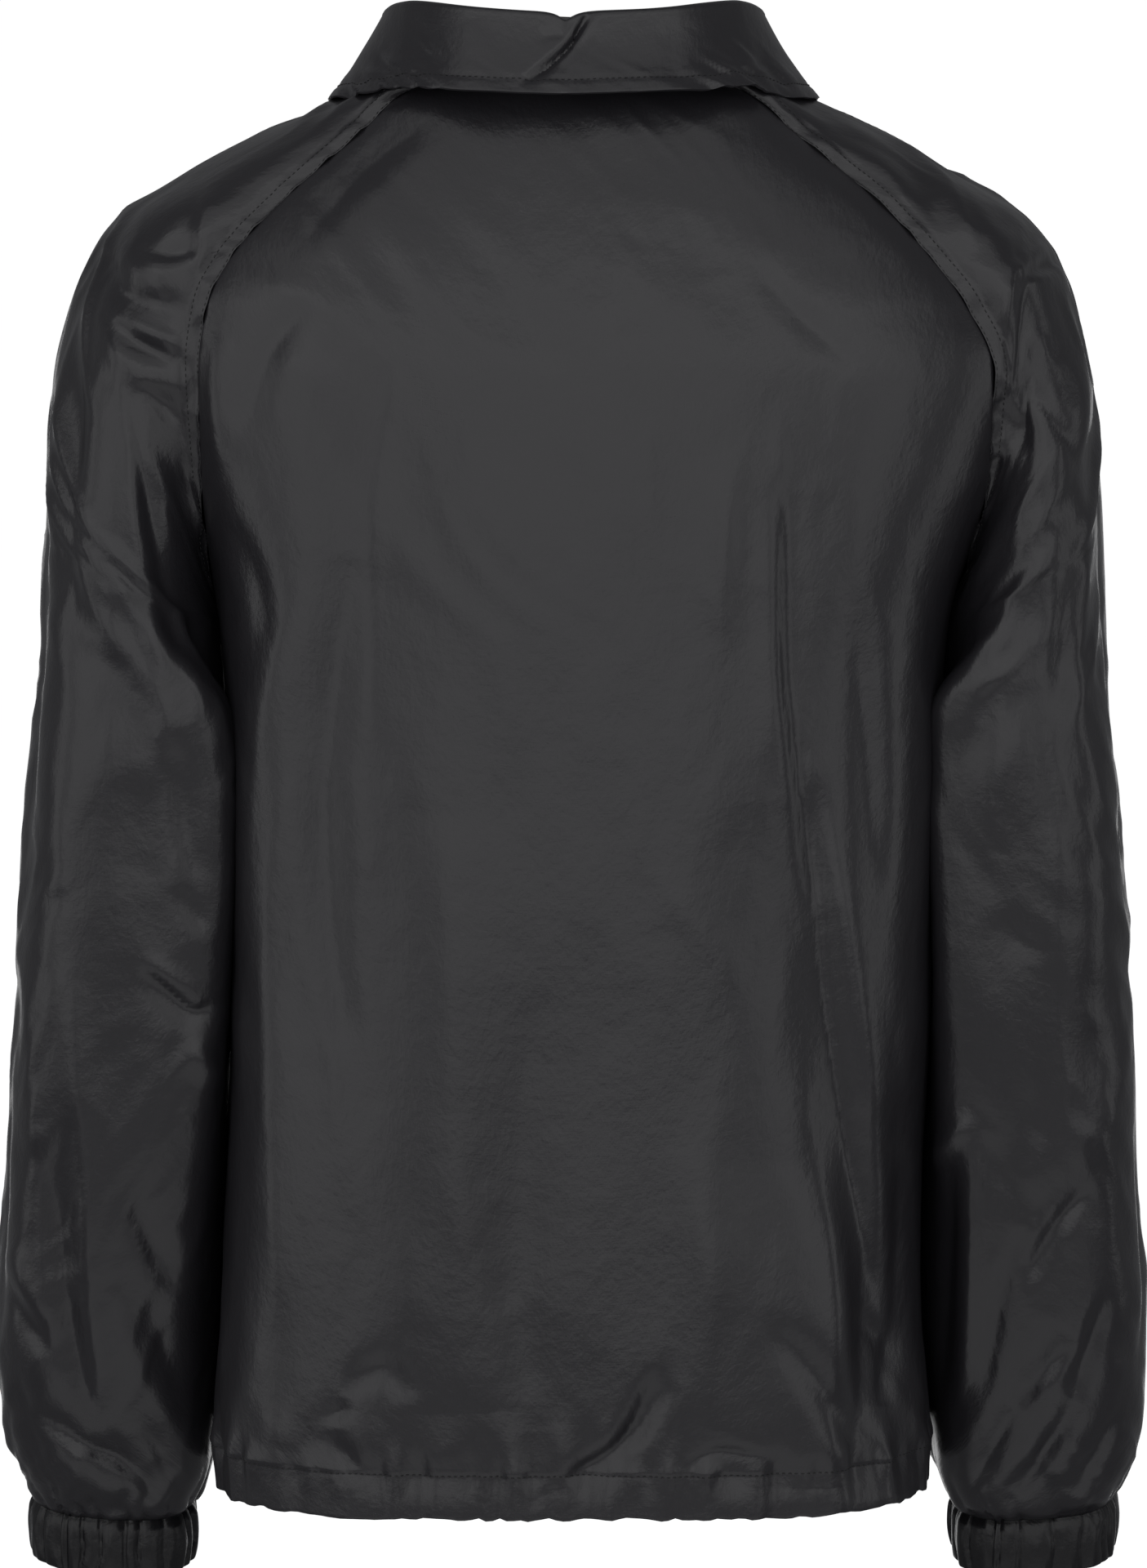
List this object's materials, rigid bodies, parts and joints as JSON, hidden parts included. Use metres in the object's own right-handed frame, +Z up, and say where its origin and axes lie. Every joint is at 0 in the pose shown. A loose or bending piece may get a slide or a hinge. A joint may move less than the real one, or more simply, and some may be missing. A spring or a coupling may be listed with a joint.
{
  "type": "coach jacket",
  "caption": "Hollow worn-form coach jacket with raglan sleeves, turned-down collar, gathered elastic cuffs, cased hem and a front closed by press studs.",
  "frame": {"origin": "middle of the neck opening, level with the neck seam at the sides, where the wearer's neck and shoulders hold the jacket", "axes": "+Z up, -Y the way the front faces, +Y the back, +X the wearer's left"},
  "size_m": [0.5922, 0.2811, 0.801],
  "materials": {
    "nylon": "black nylon taffeta, fine plain weave, soft satin sheen",
    "elastic_cuff": "the same nylon, gathered over elastic",
    "stud_cap": "black painted press stud cap"
  },
  "bodies": {
    "root": {"back": "nylon", "front_left": "nylon", "front_right": "nylon", "sleeve_left": "nylon", "sleeve_right": "nylon", "collar_stand": "nylon", "collar_leaf": "nylon", "cuff_left": "elastic_cuff", "cuff_right": "elastic_cuff", "snap_1": "stud_cap", "snap_2": "stud_cap", "snap_3": "stud_cap", "snap_4": "stud_cap", "snap_5": "stud_cap"}
  },
  "joints": []
}
